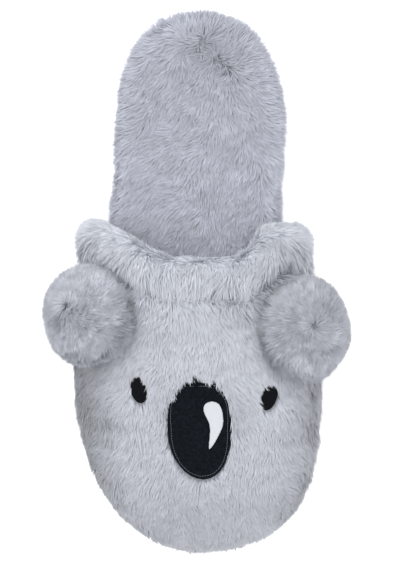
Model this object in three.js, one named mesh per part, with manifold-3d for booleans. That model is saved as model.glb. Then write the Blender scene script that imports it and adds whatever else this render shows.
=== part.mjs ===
// Plush mule slipper with an animal face, for the right foot.
// Millimetres, +Z up, toe towards -Y, inner side of the foot towards +X.
// The origin is on the floor under the middle of the sole.
import * as THREE from "three";
import { mergeVertices } from "three/addons/utils/BufferGeometryUtils.js";
import Module from "manifold-3d";

const wasm = await Module();
wasm.setup();

// Driving dimensions of the sole
const soleLength = 264;
const ballWidth = 101;
const heelWidth = 80;
const heelRound = 42; // length of the round heel end
const heelFullness = 2.25; // power of the heel's round, 2 is a plain ellipse
const toeRound = 72; // length of the round toe end
const toeFullness = 2.2;
const toeSpring = 5;
const springLength = 75;

// Layers, from the floor up
const outsoleThick = 4.5;
const outsoleInset = 2; // the rubber stays inside the plush wrap
const treadDepth = 1.5;
const archPad = { across: 12, along: 17 }; // half sizes of the flat pad under the arch
const midsoleHeel = 11.5;
const midsoleFore = 9.5;
const footbedThick = 7;
const footbedCrown = 2;
const crownReach = 24; // from the rim to the flat middle of the crown
const footbedRim = 2.2; // platform rim left bare round the footbed
const fitGap = 0.3; // between pieces that touch

// The upper
const vampLength = 142.5; // toe tip to the collar, along the top
const instepHeight = 77;
const cheekBulge = 9; // how far the upper stands out past the sole
const cheekHeight = 24; // height of its widest line
const cheekTuck = 15.6; // depth of its lower half
const tuckRound = 24; // length of the lower half's round toe end
const toeOverhang = 1.4;
const archFullness = 2.2; // power of the cross-section
const toeSlope = 1.6; // power of the falling toe profile
const upperWall = 5; // backing, wadding and the dense part of the pile

// The collar
const collarSweep = { lateral: 20, medial: 17 }; // how much further back each side reaches
const cuffTopWidth = 16;
const cuffSideWidth = 25;
const cuffThick = 12;
const cuffStand = 3.2; // how far the roll stands out over the upper
const cuffFullness = 2.3;
const tuckedIn = 0.25; // share of its width that the upper runs into it

// The ears
const earSize = { across: 21.5, along: 25, deep: 17.5 }; // half sizes over the locks
const earCore = 0.78; // share of those that is the dense ball
const earLocks = 96;
const lockRadius = 5.4;
const earStand = 14; // ball centre over its seat
const earSeats = {
  ear_lateral: { x: -44, y: -16 },
  ear_medial: { x: 45, y: -23 },
};

// The face
const nose = { x: 2, y: -73, width: 31.8, length: 49, lean: 1.5, thick: 2, border: 0.9 };
const noseShoulder = 0.7; // power of the nose's upper half, 1 is a plain ellipse
const eye = { width: 8.2, length: 13.8, thick: 2 };
const eyes = {
  eye_lateral: { x: -28, y: -52.5, lean: 11.5 },
  eye_medial: { x: 36.2, y: -56.2, lean: -18 },
};
const glint = { length: 24.2, top: 15, right: 0.6, thick: 1 };

// How the sole widens from heel to ball: along is the share of its length from
// the heel, and the others are shares of the way from heel width to ball width.
const WIDENING = [
  { along: 0.0, lateral: 0.0, medial: 0.0 },
  { along: 0.22, lateral: 0.0, medial: 0.0 },
  { along: 0.38, lateral: 0.38, medial: -0.1 },
  { along: 0.5, lateral: 0.78, medial: 0.38 },
  { along: 0.67, lateral: 1.04, medial: 0.96 },
  { along: 0.85, lateral: 0.62, medial: 1.08 },
  { along: 0.93, lateral: 0.42, medial: 1.6 },
  { along: 1.0, lateral: 0.2, medial: 1.9 },
];

// How far back the collar runs on each side: rise is the height round its arch, and
// the others are shares of the side's sweep.
const COLLAR = [
  { along: 0.0, lateral: 1.0, medial: 1.0 },
  { along: 0.45, lateral: 0.97, medial: 1.0 },
  { along: 0.62, lateral: 0.86, medial: 0.98 },
  { along: 0.76, lateral: 0.66, medial: 0.72 },
  { along: 0.86, lateral: 0.44, medial: 0.08 },
  { along: 0.95, lateral: 0.14, medial: 0.0 },
  { along: 1.0, lateral: 0.0, medial: 0.0 },
];

// The glint's outline from its head to its tail, all as shares of its length.
const GLINT = [
  { along: 0.0, middle: 0.253, half: 0.0 },
  { along: 0.03, middle: 0.243, half: 0.11 },
  { along: 0.08, middle: 0.244, half: 0.157 },
  { along: 0.15, middle: 0.25, half: 0.186 },
  { along: 0.25, middle: 0.271, half: 0.19 },
  { along: 0.35, middle: 0.301, half: 0.17 },
  { along: 0.47, middle: 0.323, half: 0.143 },
  { along: 0.6, middle: 0.308, half: 0.116 },
  { along: 0.76, middle: 0.262, half: 0.082 },
  { along: 0.93, middle: 0.202, half: 0.039 },
  { along: 1.0, middle: 0.168, half: 0.0 },
];

// Rims of the stacked layers, from the bottom edge to the top: inset is from the
// layer's outline, and up is a share of its thickness.
const OUTSOLE_SIDE = [
  { inset: 1.2, up: 0 },
  { inset: 0, up: 0.3 },
  { inset: 0, up: 0.75 },
  { inset: 0.6, up: 1 },
];
const WRAP_SIDE = [
  { inset: 2.2, up: 0 },
  { inset: 0.5, up: 0.22 },
  { inset: 0, up: 0.5 },
  { inset: 0.5, up: 0.8 },
  { inset: 2.4, up: 1 },
];
const PAD_SIDE = [
  { inset: 1, up: 0, crown: 0 },
  { inset: 0, up: 0.3, crown: 0 },
  { inset: 0.8, up: 0.72, crown: 0 },
  { inset: crownReach / 7, up: 1, crown: 0.05 },
  { inset: crownReach / 2, up: 1, crown: 0.65 },
  { inset: crownReach, up: 1, crown: 1 },
];

const soleStations = 26;
const formStations = 22;
const formSides = 36;
const cuffStations = 30;
const cuffSides = 12;

const heelEnd = soleLength / 2;
const toeEnd = -soleLength / 2;
const upperToe = toeEnd - toeOverhang;

// Small mathematics

// Share of the full width at a distance from a round end of this length.
function roundEnd(distance, length, power) {
  if (distance <= 0) return 0;
  if (distance >= length) return 1;
  return (1 - (1 - distance / length) ** power) ** (1 / power);
}

// Smooth value of one column of a table between its rows.
function fromTable(table, along, column) {
  let i = 0;
  while (i < table.length - 2 && along > table[i + 1].along) i += 1;
  const slope = (a, b) =>
    (table[b][column] - table[a][column]) / (table[b].along - table[a].along);
  const last = table.length - 1;
  const slopeAt = (k) => slope(Math.max(k - 1, 0), Math.min(k + 1, last));
  const span = table[i + 1].along - table[i].along;
  const t = THREE.MathUtils.clamp((along - table[i].along) / span, 0, 1);
  const rise = t * t * (3 - 2 * t);
  const start = t * (1 - t) ** 2 * span * slopeAt(i);
  const finish = t * t * (t - 1) * span * slopeAt(i + 1);
  return THREE.MathUtils.lerp(table[i][column], table[i + 1][column], rise) + start + finish;
}

function signedPower(value, power) {
  return Math.sign(value) * Math.abs(value) ** power;
}

// Building solids

// A closed solid from loops of points, each joined to the next. An end loop that
// isn't a point or a line is closed by a fan.
function loft(loops) {
  const sides = loops[0].length;
  const points = loops.flat();
  const faces = [];
  for (let j = 0; j + 1 < loops.length; j += 1) {
    for (let i = 0; i < sides; i += 1) {
      const a = j * sides + i;
      const b = j * sides + ((i + 1) % sides);
      faces.push([a, b, b + sides], [a, b + sides, a + sides]);
    }
  }
  for (const [loop, first] of [[loops[0], 0], [loops.at(-1), points.length - sides]]) {
    const middle = loop.reduce((sum, p) => sum.add(p), new THREE.Vector3());
    const centre = points.push(middle.divideScalar(sides)) - 1;
    for (let i = 0; i < sides; i += 1) {
      const a = first + i;
      const b = first + ((i + 1) % sides);
      faces.push(first === 0 ? [b, a, centre] : [a, b, centre]);
    }
  }
  const geometry = new THREE.BufferGeometry().setFromPoints(points);
  geometry.setIndex(faces.flat());
  return toSolid(geometry);
}

// A three.js geometry as a solid, with its shared vertices merged and its flat
// faces of no area left out.
function toSolid(geometry) {
  const bare = new THREE.BufferGeometry();
  bare.setAttribute("position", geometry.getAttribute("position"));
  bare.setIndex(geometry.getIndex());
  const merged = mergeVertices(bare, 1e-3);
  const index = merged.getIndex().array;
  const kept = [];
  for (let i = 0; i < index.length; i += 3) {
    const [a, b, c] = [index[i], index[i + 1], index[i + 2]];
    if (a !== b && b !== c && c !== a) kept.push(a, b, c);
  }
  return new wasm.Manifold(
    new wasm.Mesh({
      numProp: 3,
      vertProperties: Float32Array.from(merged.getAttribute("position").array),
      triVerts: Uint32Array.from(kept),
    }),
  );
}

// A solid as a named mesh with its finish.
function toMesh(name, solid, finish) {
  const { numProp, vertProperties, triVerts } = solid.getMesh();
  const geometry = new THREE.BufferGeometry();
  geometry.setAttribute("position", new THREE.BufferAttribute(vertProperties, numProp));
  geometry.setIndex(new THREE.BufferAttribute(triVerts, 1));
  const mesh = new THREE.Mesh(geometry, finish);
  mesh.name = name;
  return mesh;
}

function extruded(shape, bottom, depth, curveSegments = 12) {
  const geometry = new THREE.ExtrudeGeometry(shape, { depth, bevelEnabled: false, curveSegments });
  return toSolid(geometry.translate(0, 0, bottom));
}

// The sole's own functions

const sideName = (x) => (x < 0 ? "lateral" : "medial");

// Half width of the sole at y before its round ends, on one side.
function soleBody(side, y) {
  const along = (heelEnd - y) / soleLength;
  const share = fromTable(WIDENING, along, side);
  return THREE.MathUtils.lerp(heelWidth / 2, ballWidth / 2, share);
}

// Half width of the sole's outline, drawn in by an inset.
function soleHalf(side, y, inset = 0) {
  const heel = roundEnd(heelEnd - inset - y, heelRound - inset, heelFullness);
  const toe = roundEnd(y - toeEnd - inset, toeRound - inset, toeFullness);
  return (soleBody(side, y) - inset) * heel * toe;
}

// Height that the toe spring gives at y.
function lift(y) {
  const run = (toeEnd + springLength - y) / springLength;
  return run > 0 ? toeSpring * run * run : 0;
}

// Thickness of the platform, falling from heel to forefoot.
function midsoleThick(y) {
  const share = THREE.MathUtils.smoothstep(-y, -heelEnd / 2, -toeEnd / 3);
  return THREE.MathUtils.lerp(midsoleHeel, midsoleFore, share);
}

const midsoleBottom = (y) => outsoleThick + fitGap + lift(y);
const midsoleTop = (y) => midsoleBottom(y) + midsoleThick(y);

// A layer lofted from heel to toe: each level has its half width and height as
// functions, and its own two ends.
function layer(levels) {
  const loops = [];
  for (let j = 0; j <= soleStations; j += 1) {
    const share = (1 - Math.cos((Math.PI * j) / soleStations)) / 2;
    const points = levels.map((level) => {
      const y = THREE.MathUtils.lerp(level.back, level.front, share);
      const at = (side, sign) =>
        new THREE.Vector3(sign * level.half(side, y), y, level.height(y));
      return { left: at("lateral", -1), right: at("medial", 1) };
    });
    loops.push([...points.map((p) => p.right), ...points.reverse().map((p) => p.left)]);
  }
  return loft(loops);
}

// The upper's own functions

// Height of the widest line of the upper over the floor.
const cheekLine = (y) => cheekHeight + lift(y);

// Half width, upper and lower half heights of the upper's form at y. The form is
// grown outwards, or drawn in where grow is negative.
function formSize(side, y, grow) {
  const distance = y - (upperToe - grow);
  return {
    half: (soleBody(side, y) + cheekBulge + grow) *
      roundEnd(distance, toeRound + toeOverhang + grow, toeFullness),
    top: (instepHeight - cheekHeight + grow) *
      roundEnd(distance, vampLength + grow, toeSlope),
    low: cheekTuck * roundEnd(distance, tuckRound + grow, 2),
  };
}

// Point of the form at an angle round its cross-section: 0 is the inner side,
// a quarter turn is the top.
function formPoint(angle, y, grow) {
  const [c, s] = [Math.cos(angle), Math.sin(angle)];
  const size = formSize(sideName(c), y, grow);
  const power = 2 / archFullness;
  const rise = s < 0 ? size.low : size.top;
  return new THREE.Vector3(
    size.half * signedPower(c, power),
    y,
    cheekLine(y) + rise * signedPower(s, power),
  );
}

// Height of the form's upper side over a point of the plan.
function formTop(x, y, grow) {
  const size = formSize(sideName(x), y, grow);
  const share = Math.min(Math.abs(x) / size.half, 1) ** archFullness;
  return cheekLine(y) + size.top * (1 - share) ** (1 / archFullness);
}

// Half width of the form at the top of the platform.
function formHalfAtBed(side, y, grow) {
  const size = formSize(side, y, grow);
  const depth = cheekLine(y) - midsoleTop(y);
  const share = size.low > depth ? (depth / size.low) ** archFullness : 1;
  return size.half * (1 - share) ** (1 / archFullness);
}

function formNormal(x, y) {
  const step = 0.5;
  const dx = (formTop(x + step, y, 0) - formTop(x - step, y, 0)) / (2 * step);
  const dy = (formTop(x, y + step, 0) - formTop(x, y - step, 0)) / (2 * step);
  return new THREE.Vector3(-dx, -dy, 1).normalize();
}

// Back edge of the collar at an angle round the section: it dips at the top and
// runs further back at the sides.
function collarEdge(angle) {
  const side = sideName(Math.cos(angle));
  const share = fromTable(COLLAR, Math.max(Math.sin(angle), 0), side);
  return upperToe + vampLength + collarSweep[side] * share;
}

// The form as a closed solid, from the cuff to the toe tip. Its back end lies
// behind the front edge of the cuff by a share of the cuff's width.
function form(grow, behind) {
  const loops = [];
  for (let j = 0; j <= formStations; j += 1) {
    const share = Math.sin((Math.PI * j) / (2 * formStations));
    const loop = [];
    for (let i = 0; i < formSides; i += 1) {
      const angle = (2 * Math.PI * i) / formSides;
      const back = cuffMiddle(angle) + (behind - 0.5) * cuffWidth(angle);
      const y = THREE.MathUtils.lerp(back, upperToe - grow, share);
      loop.push(formPoint(angle, y, grow));
    }
    loops.push(loop);
  }
  return loft(loops);
}

// Everything below the top of the platform, with a gap over it.
function belowBed() {
  const reach = ballWidth;
  const loops = [];
  for (let j = 0; j <= soleStations; j += 1) {
    const y = THREE.MathUtils.lerp(heelEnd + reach, toeEnd - reach, j / soleStations);
    const inside = THREE.MathUtils.clamp(y, toeEnd - toeOverhang, heelEnd);
    const top = midsoleTop(inside) + fitGap;
    loops.push([
      new THREE.Vector3(reach, y, -reach),
      new THREE.Vector3(reach, y, top),
      new THREE.Vector3(-reach, y, top),
      new THREE.Vector3(-reach, y, -reach),
    ]);
  }
  return loft(loops);
}

// The cuff: a padded roll that follows the collar

function cuffWidth(angle) {
  const rise = Math.max(Math.sin(angle), 0) ** 2;
  return THREE.MathUtils.lerp(cuffSideWidth, cuffTopWidth, rise);
}

function cuffMiddle(angle) {
  return collarEdge(angle) - cuffWidth(angle) / 2;
}

// The roll is grown on all sides for the seat that is cut for it.
function cuffRoll(grow) {
  const below = Math.PI / 2.2; // the ends run down past the platform and are cut off
  const loops = [];
  for (let j = 0; j <= cuffStations; j += 1) {
    const angle = THREE.MathUtils.lerp(Math.PI + below, -below, j / cuffStations);
    const loop = [];
    for (let i = 0; i < cuffSides; i += 1) {
      const turn = (2 * Math.PI * i) / cuffSides;
      const along = (cuffWidth(angle) / 2 + grow) * signedPower(Math.cos(turn), 2 / cuffFullness);
      const out = (cuffThick / 2 + grow) * signedPower(Math.sin(turn), 2 / cuffFullness);
      loop.push(formPoint(angle, cuffMiddle(angle) + along, cuffStand - cuffThick / 2 + out));
    }
    loops.push(loop);
  }
  return loft(loops);
}

// Sole pieces

function treadSlot(y) {
  const slotWidth = 3;
  const rim = 8;
  const chevron = 5;
  const [left, right] = [-soleHalf("lateral", y, rim), soleHalf("medial", y, rim)];
  const slot = new THREE.Shape([
    new THREE.Vector2(left, y),
    new THREE.Vector2(0, y - chevron),
    new THREE.Vector2(right, y),
    new THREE.Vector2(right, y + slotWidth),
    new THREE.Vector2(0, y - chevron + slotWidth),
    new THREE.Vector2(left, y + slotWidth),
  ]);
  return extruded(slot, lift(y) - treadDepth, 2 * treadDepth);
}

// The hollow under the arch, round the flat oval pad at its middle.
function archHollow() {
  const front = -0.09 * soleLength;
  const back = 0.13 * soleLength;
  const hollow = new THREE.Shape([
    new THREE.Vector2(-ballWidth, front),
    new THREE.Vector2(ballWidth, front),
    new THREE.Vector2(ballWidth, back),
    new THREE.Vector2(-ballWidth, back),
  ]);
  hollow.holes.push(new THREE.Path().absellipse(0, 0, archPad.across, archPad.along, 0, 2 * Math.PI));
  return extruded(hollow, -treadDepth, 2 * treadDepth);
}

function outsole() {
  const levels = OUTSOLE_SIDE.map(({ inset, up }) => ({
    back: heelEnd - outsoleInset - inset,
    front: toeEnd + outsoleInset + inset,
    half: (side, y) => soleHalf(side, y, outsoleInset + inset),
    height: (y) => outsoleThick * up + lift(y),
  }));
  const slots = [-0.42, -0.37, -0.32, -0.27, -0.22, -0.17, -0.12, 0.17, 0.22, 0.27, 0.32, 0.37];
  const cuts = slots.map((share) => treadSlot(share * soleLength));
  return layer(levels).subtract(wasm.Manifold.union([...cuts, archHollow()]));
}

function midsole() {
  return layer(WRAP_SIDE.map(({ inset, up }) => ({
    back: heelEnd - inset,
    front: toeEnd + inset,
    half: (side, y) => soleHalf(side, y, inset),
    height: (y) => midsoleBottom(y) + midsoleThick(y) * up,
  })));
}

// The footbed fills the platform inside its rim, and inside the upper's wall.
function footbed() {
  const front = upperToe + upperWall;
  const half = (side, y, inset) => Math.max(0, Math.min(
    soleHalf(side, y, footbedRim + inset),
    formHalfAtBed(side, y - inset, -upperWall) - fitGap - inset,
  ));
  const frontEnd = (inset) => {
    let y = front;
    while (half("medial", y, inset) === 0) y += 0.05;
    return y;
  };
  return layer(PAD_SIDE.map(({ inset, up, crown }) => ({
    back: heelEnd - footbedRim - inset,
    front: frontEnd(inset),
    half: (side, y) => half(side, y, inset),
    height: (y) => midsoleTop(y) + fitGap + footbedThick * up + footbedCrown * crown,
  })));
}

// Face pieces, laid on the upper

// A patch with a round outline: its rims are shares of the outline, each with
// its height over the form.
function patch(place, outline, rims) {
  const sides = 32;
  return loft(rims.map(({ share, over }) => {
    const loop = [];
    for (let i = 0; i < sides; i += 1) {
      const turn = (2 * Math.PI * i) / sides;
      const flat = outline(turn).multiplyScalar(share);
      flat.rotateAround(new THREE.Vector2(), place.turn);
      const [x, y] = [place.x + flat.x, place.y + flat.y];
      loop.push(new THREE.Vector3(x, y, formTop(x, y, over)));
    }
    return loop;
  }));
}

// The nose is an oval, squarer towards the collar, and leaning at its toe end.
function noseOutline(turn) {
  const [c, s] = [Math.cos(turn), Math.sin(turn)];
  const power = s > 0 ? noseShoulder : 1;
  const drift = s > 0 ? 0 : nose.lean * s * s;
  return new THREE.Vector2(
    (nose.width / 2) * signedPower(c, power) + drift,
    (nose.length / 2) * signedPower(s, power),
  );
}

function noseSolid() {
  const top = fitGap + nose.thick;
  return patch({ ...nose, turn: 0 }, noseOutline, [
    { share: 0, over: fitGap },
    { share: 0.5, over: fitGap },
    { share: 1, over: fitGap },
    { share: 1, over: top },
    { share: 0.95, over: top + nose.border },
    { share: 0.87, over: top + nose.border },
    { share: 0.82, over: top },
    { share: 0.45, over: top },
    { share: 0, over: top },
  ]);
}

function eyeSolid({ x, y, lean }) {
  const turn = THREE.MathUtils.degToRad(lean);
  const outline = (angle) =>
    new THREE.Vector2((eye.width / 2) * Math.cos(angle), (eye.length / 2) * Math.sin(angle));
  return patch({ x, y, turn }, outline, [
    { share: 0, over: fitGap },
    { share: 1, over: fitGap },
    { share: 1, over: fitGap + eye.thick * 0.6 },
    { share: 0.75, over: fitGap + eye.thick },
    { share: 0, over: fitGap + eye.thick },
  ]);
}

// The glint is a drop on the nose: a round head that narrows along a bent tail.
function glintSolid() {
  const steps = 20;
  const bottom = fitGap + nose.thick + fitGap;
  const ring = [[-1, 0], [1, 0], [1, 0.7], [0.5, 1], [-0.5, 1], [-1, 0.7]];
  const loops = [];
  for (let j = 0; j <= steps; j += 1) {
    const along = (1 - Math.cos((Math.PI * j) / steps)) / 2;
    const middle = glint.length * fromTable(GLINT, along, "middle");
    const half = glint.length * Math.max(fromTable(GLINT, along, "half"), 0);
    loops.push(ring.map(([across, up]) => {
      const x = nose.x + glint.right + middle + across * half;
      const y = nose.y + glint.top - glint.length * along;
      return new THREE.Vector3(x, y, formTop(x, y, bottom + glint.thick * up));
    }));
  }
  return loft(loops);
}

// Ears: each is a pompom of locks fused on a dense ball, pressed on its seat

// Directions spread evenly over a sphere.
function spreadDirections(count) {
  const turn = Math.PI * (3 - Math.sqrt(5));
  return Array.from({ length: count }, (_, k) => {
    const z = 1 - (2 * k + 1) / count;
    const r = Math.sqrt(1 - z * z);
    return new THREE.Vector3(r * Math.cos(k * turn), r * Math.sin(k * turn), z);
  });
}

// A pompom about the origin, its seat side towards -Z.
function pompom() {
  const size = new THREE.Vector3(earSize.across, earSize.along, earSize.deep);
  const core = new THREE.IcosahedronGeometry(1, 3);
  core.deleteAttribute("normal");
  core.deleteAttribute("uv");
  const ball = mergeVertices(core);
  ball.scale(size.x * earCore, size.y * earCore, size.z * earCore);
  const locks = spreadDirections(earLocks)
    .filter((direction) => direction.z > -0.75)
    .map((direction, k) => {
      const reach = 0.97 + 0.03 * Math.sin(k * 2.4);
      const tip = direction.clone().multiply(size).multiplyScalar(reach);
      const root = tip.clone().multiplyScalar(0.55);
      const length = tip.distanceTo(root);
      const lock = new THREE.ConeGeometry(lockRadius, length, 5);
      const out = tip.clone().sub(root).normalize();
      lock.applyQuaternion(new THREE.Quaternion().setFromUnitVectors(THREE.Object3D.DEFAULT_UP, out));
      const middle = tip.add(root).multiplyScalar(0.5);
      return toSolid(lock.translate(middle.x, middle.y, middle.z));
    });
  return wasm.Manifold.union([toSolid(ball), ...locks]);
}

// Where an ear stands: its ball's centre, and its turn from the seat's normal.
function earPlace({ x, y }) {
  const normal = formNormal(x, y);
  const along = new THREE.Vector3(0, 1, 0);
  along.addScaledVector(normal, -along.dot(normal)).normalize();
  const across = new THREE.Vector3().crossVectors(along, normal);
  const matrix = new THREE.Matrix4().makeBasis(across, along, normal);
  const centre = new THREE.Vector3(x, y, formTop(x, y, 0)).addScaledVector(normal, earStand);
  return matrix.setPosition(centre);
}

// Assembly

const finish = (color, roughness) => new THREE.MeshStandardMaterial({ color, roughness, metalness: 0 });
const plush = finish(0xb6b9c6, 0.95);
const footPlush = finish(0xacafbd, 0.95);
const earPlush = finish(0xa9acba, 0.95);
const rubber = finish(0x5b5d66, 0.8);
const blackFelt = finish(0x14171c, 0.85);
const whiteThread = finish(0xeef0f6, 0.6);

const slipper = new THREE.Group();
const bed = belowBed();
const roll = cuffRoll(0);
const rollSeat = cuffRoll(fitGap);
const pressed = wasm.Manifold.union([form(fitGap, tuckedIn), rollSeat]);

slipper.add(toMesh("outsole", outsole(), rubber));
slipper.add(toMesh("midsole", midsole(), plush));
slipper.add(toMesh("footbed", footbed().subtract(rollSeat), footPlush));

const wall = form(0, tuckedIn).subtract(form(-upperWall, 1));
slipper.add(toMesh("upper", wall.subtract(bed).subtract(rollSeat), plush));
slipper.add(toMesh("cuff", roll.subtract(bed), plush));

const ball = pompom();
for (const [name, seat] of Object.entries(earSeats)) {
  const place = earPlace(seat);
  const hollow = pressed.transform(place.clone().invert().elements);
  const mesh = toMesh(name, ball.subtract(hollow), earPlush);
  mesh.applyMatrix4(place);
  slipper.add(mesh);
}

slipper.add(toMesh("nose", noseSolid(), blackFelt));
slipper.add(toMesh("nose_glint", glintSolid(), whiteThread));
for (const [name, place] of Object.entries(eyes)) {
  slipper.add(toMesh(name, eyeSolid(place), blackFelt));
}

export default slipper;
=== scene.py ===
"""Dresses the plush animal mule slipper: fur on every plush piece, the stitched face, the
rubber sole, and the floor, lights and camera that show it from above."""

import math

import bmesh
import bpy
import numpy as np
from mathutils import Matrix, Vector
from mathutils.bvhtree import BVHTree


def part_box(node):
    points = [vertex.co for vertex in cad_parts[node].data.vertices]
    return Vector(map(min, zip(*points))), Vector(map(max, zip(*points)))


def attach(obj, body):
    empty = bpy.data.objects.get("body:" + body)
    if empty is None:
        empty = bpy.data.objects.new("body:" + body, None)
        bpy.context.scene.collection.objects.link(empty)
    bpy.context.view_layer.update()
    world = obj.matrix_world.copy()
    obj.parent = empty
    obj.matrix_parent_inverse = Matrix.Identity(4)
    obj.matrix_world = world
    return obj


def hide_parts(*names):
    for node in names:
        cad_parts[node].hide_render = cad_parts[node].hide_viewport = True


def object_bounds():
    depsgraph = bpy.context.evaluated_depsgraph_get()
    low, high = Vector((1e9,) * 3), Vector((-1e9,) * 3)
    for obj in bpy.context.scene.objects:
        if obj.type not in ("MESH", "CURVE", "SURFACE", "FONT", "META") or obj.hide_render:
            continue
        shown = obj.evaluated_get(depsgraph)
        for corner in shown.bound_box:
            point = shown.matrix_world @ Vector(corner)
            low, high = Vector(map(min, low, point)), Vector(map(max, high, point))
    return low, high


bl_info = {
    "name": "Plush Animal Mule",
    "version": (1, 0, 0),
    "blender": (4, 5, 0),
    "location": "View3D > Sidebar > Slipper",
    "description": "Fur, face and sole finishes of a plush animal slipper",
    "category": "Object",
}

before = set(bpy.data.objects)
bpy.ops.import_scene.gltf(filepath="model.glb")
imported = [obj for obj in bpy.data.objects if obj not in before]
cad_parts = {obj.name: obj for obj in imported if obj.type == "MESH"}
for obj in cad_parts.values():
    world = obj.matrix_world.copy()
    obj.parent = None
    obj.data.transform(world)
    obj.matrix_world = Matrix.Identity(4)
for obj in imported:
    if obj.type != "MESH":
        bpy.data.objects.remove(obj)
cad_box = [[float(value) for value in corner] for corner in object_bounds()]

mm = 0.001
toe_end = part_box("upper")[0].y
body = "root"
unit_up = np.array([0.0, 0.0, 1.0])


# Properties


def length_setting(name, description, default):
    """A length that the panel shows."""
    return bpy.props.FloatProperty(
        name=name, description=description, default=default, unit="LENGTH")


def amount_setting(name, description, default):
    """A whole number that the panel shows."""
    return bpy.props.IntProperty(name=name, description=description, default=default)


def colour_setting(name, description, default):
    """A colour that the panel shows."""
    return bpy.props.FloatVectorProperty(
        name=name, description=description, default=default, subtype="COLOR", size=3)


class SlipperFur(bpy.types.PropertyGroup):
    """Lengths, widths, amounts and colours of the fur."""

    upper_length: length_setting("Upper Pile", "Length of the locks on the upper", 6.4 * mm)
    bed_length: length_setting("Footbed Pile", "Length of the locks on the footbed", 6.5 * mm)
    rim_length: length_setting("Rim Pile", "Length of the locks round the platform", 6.5 * mm)
    cuff_length: length_setting("Cuff Pile", "Length of the locks on the collar roll", 8.5 * mm)
    ear_length: length_setting("Ear Pile", "Length of the locks of the ears", 7.4 * mm)
    lock_width: length_setting("Lock Width", "Width of one lock of fur", 0.62 * mm)
    upper_locks: amount_setting("Upper Locks", "Number of locks on the upper", 99000)
    bed_locks: amount_setting("Footbed Locks", "Number of locks on the footbed", 72000)
    rim_locks: amount_setting("Rim Locks", "Number of locks round the platform", 52000)
    cuff_locks: amount_setting("Cuff Locks", "Number of locks on the collar roll", 62000)
    ear_locks: amount_setting("Ear Locks", "Number of locks on each ear", 42000)
    root_colour: colour_setting(
        "Root Colour", "Colour of the fur near the backing", (0.39, 0.405, 0.46))
    tip_colour: colour_setting("Tip Colour", "Colour of the ends of the fur", (0.56, 0.58, 0.63))
    bed_colour: colour_setting(
        "Footbed Colour", "Colour of the ends of the footbed's fur", (0.54, 0.56, 0.635))
    ear_colour: colour_setting(
        "Ear Colour", "Colour of the ends of the ears' fur", (0.56, 0.58, 0.64))


class SlipperFace(bpy.types.PropertyGroup):
    """Sizes and colours of the nose and the eyes."""

    felt_colour: colour_setting(
        "Felt Colour", "Colour of the nose's felt", (0.0015, 0.0026, 0.0042))
    eye_colour: colour_setting(
        "Eye Colour", "Colour of the eyes' satin thread", (0.0045, 0.0055, 0.0075))
    glint_colour: colour_setting(
        "Glint Colour", "Colour of the nose's stitched highlight", (0.80, 0.83, 0.88))
    stitch_colour: colour_setting(
        "Stitch Colour", "Colour of the fine stitches inside the nose's edge", (0.16, 0.18, 0.20))
    stitch_inset: length_setting(
        "Stitch Inset", "From the nose's edge to its line of stitches", 1.9 * mm)
    stitch_spacing: length_setting("Stitch Spacing", "Length of one stitch with its gap", 1.3 * mm)
    wisp_length: length_setting("Wisp Length", "Length of the black wisps over the nose", 4.6 * mm)


class SlipperStage(bpy.types.PropertyGroup):
    """Camera, floor and lights."""

    camera_height: length_setting("Camera Height", "Height of the camera over the floor", 1.6)
    camera_side: length_setting(
        "Camera Side", "How far the camera stands towards the inner side", 0.078)
    view_height: length_setting(
        "View Height", "Length on the floor that fills the picture's height", 0.288)
    floor_colour: colour_setting("Floor Colour", "Colour of the floor", (1.0, 1.0, 1.0))


# Meshes


def rows_of(items, key):
    """One vector of each item, as an array of rows."""
    rows = np.empty(len(items) * 3, np.float32)
    items.foreach_get(key, rows)
    return rows.reshape(-1, 3).astype(float)


def positions(mesh):
    """Vertex positions as an array of rows."""
    return rows_of(mesh.vertices, "co")


def normals(mesh):
    """Vertex normals as an array of rows."""
    return rows_of(mesh.vertex_normals, "vector")


def store(mesh, name, values):
    """Keeps a number or a vector for each vertex under a name."""
    kind, key = ("FLOAT", "value") if values.ndim == 1 else ("FLOAT_VECTOR", "vector")
    attribute = mesh.attributes.new(name, kind, "POINT")
    attribute.data.foreach_set(key, values.astype(np.float32).ravel())


def moved(mesh, shift):
    """Moves each vertex by its row of shift, and gives the new positions and normals."""
    co = positions(mesh) + shift
    mesh.vertices.foreach_set("co", co.astype(np.float32).ravel())
    mesh.update()
    return co, normals(mesh)


def triples(x, y, z):
    """Rows of three values, each given as an array or as one number for all."""
    return np.stack(np.broadcast_arrays(x, y, z), axis=1)


def unit(rows, shortest=1e-9):
    """Rows scaled to length one, those under the shortest length to less than one."""
    return rows / np.maximum(np.linalg.norm(rows, axis=1, keepdims=True), shortest)


def search_tree(mesh):
    """A search tree of a mesh's faces."""
    return BVHTree.FromPolygons([vertex.co for vertex in mesh.vertices],
                                [tuple(face.vertices) for face in mesh.polygons])


def link(name, data):
    """A new object of a mesh, a light or a camera, at the origin."""
    piece = bpy.data.objects.new(name, data)
    bpy.context.scene.collection.objects.link(piece)
    return piece


def merged_copy(node, name):
    """A copy of a CAD node's mesh with its doubles merged."""
    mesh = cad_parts[node].data.copy()
    mesh.name = name
    mesh.materials.clear()
    work = bmesh.new()
    work.from_mesh(mesh)
    bmesh.ops.remove_doubles(work, verts=work.verts, dist=2e-6)
    work.to_mesh(mesh)
    work.free()
    for layer in list(mesh.uv_layers):
        mesh.uv_layers.remove(layer)
    return mesh


def joined_nodes(*nodes):
    """One mesh of several CAD nodes."""
    work = bmesh.new()
    for node in nodes:
        work.from_mesh(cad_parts[node].data)
    mesh = bpy.data.meshes.new("joined_nodes")
    work.to_mesh(mesh)
    work.free()
    return mesh


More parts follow.
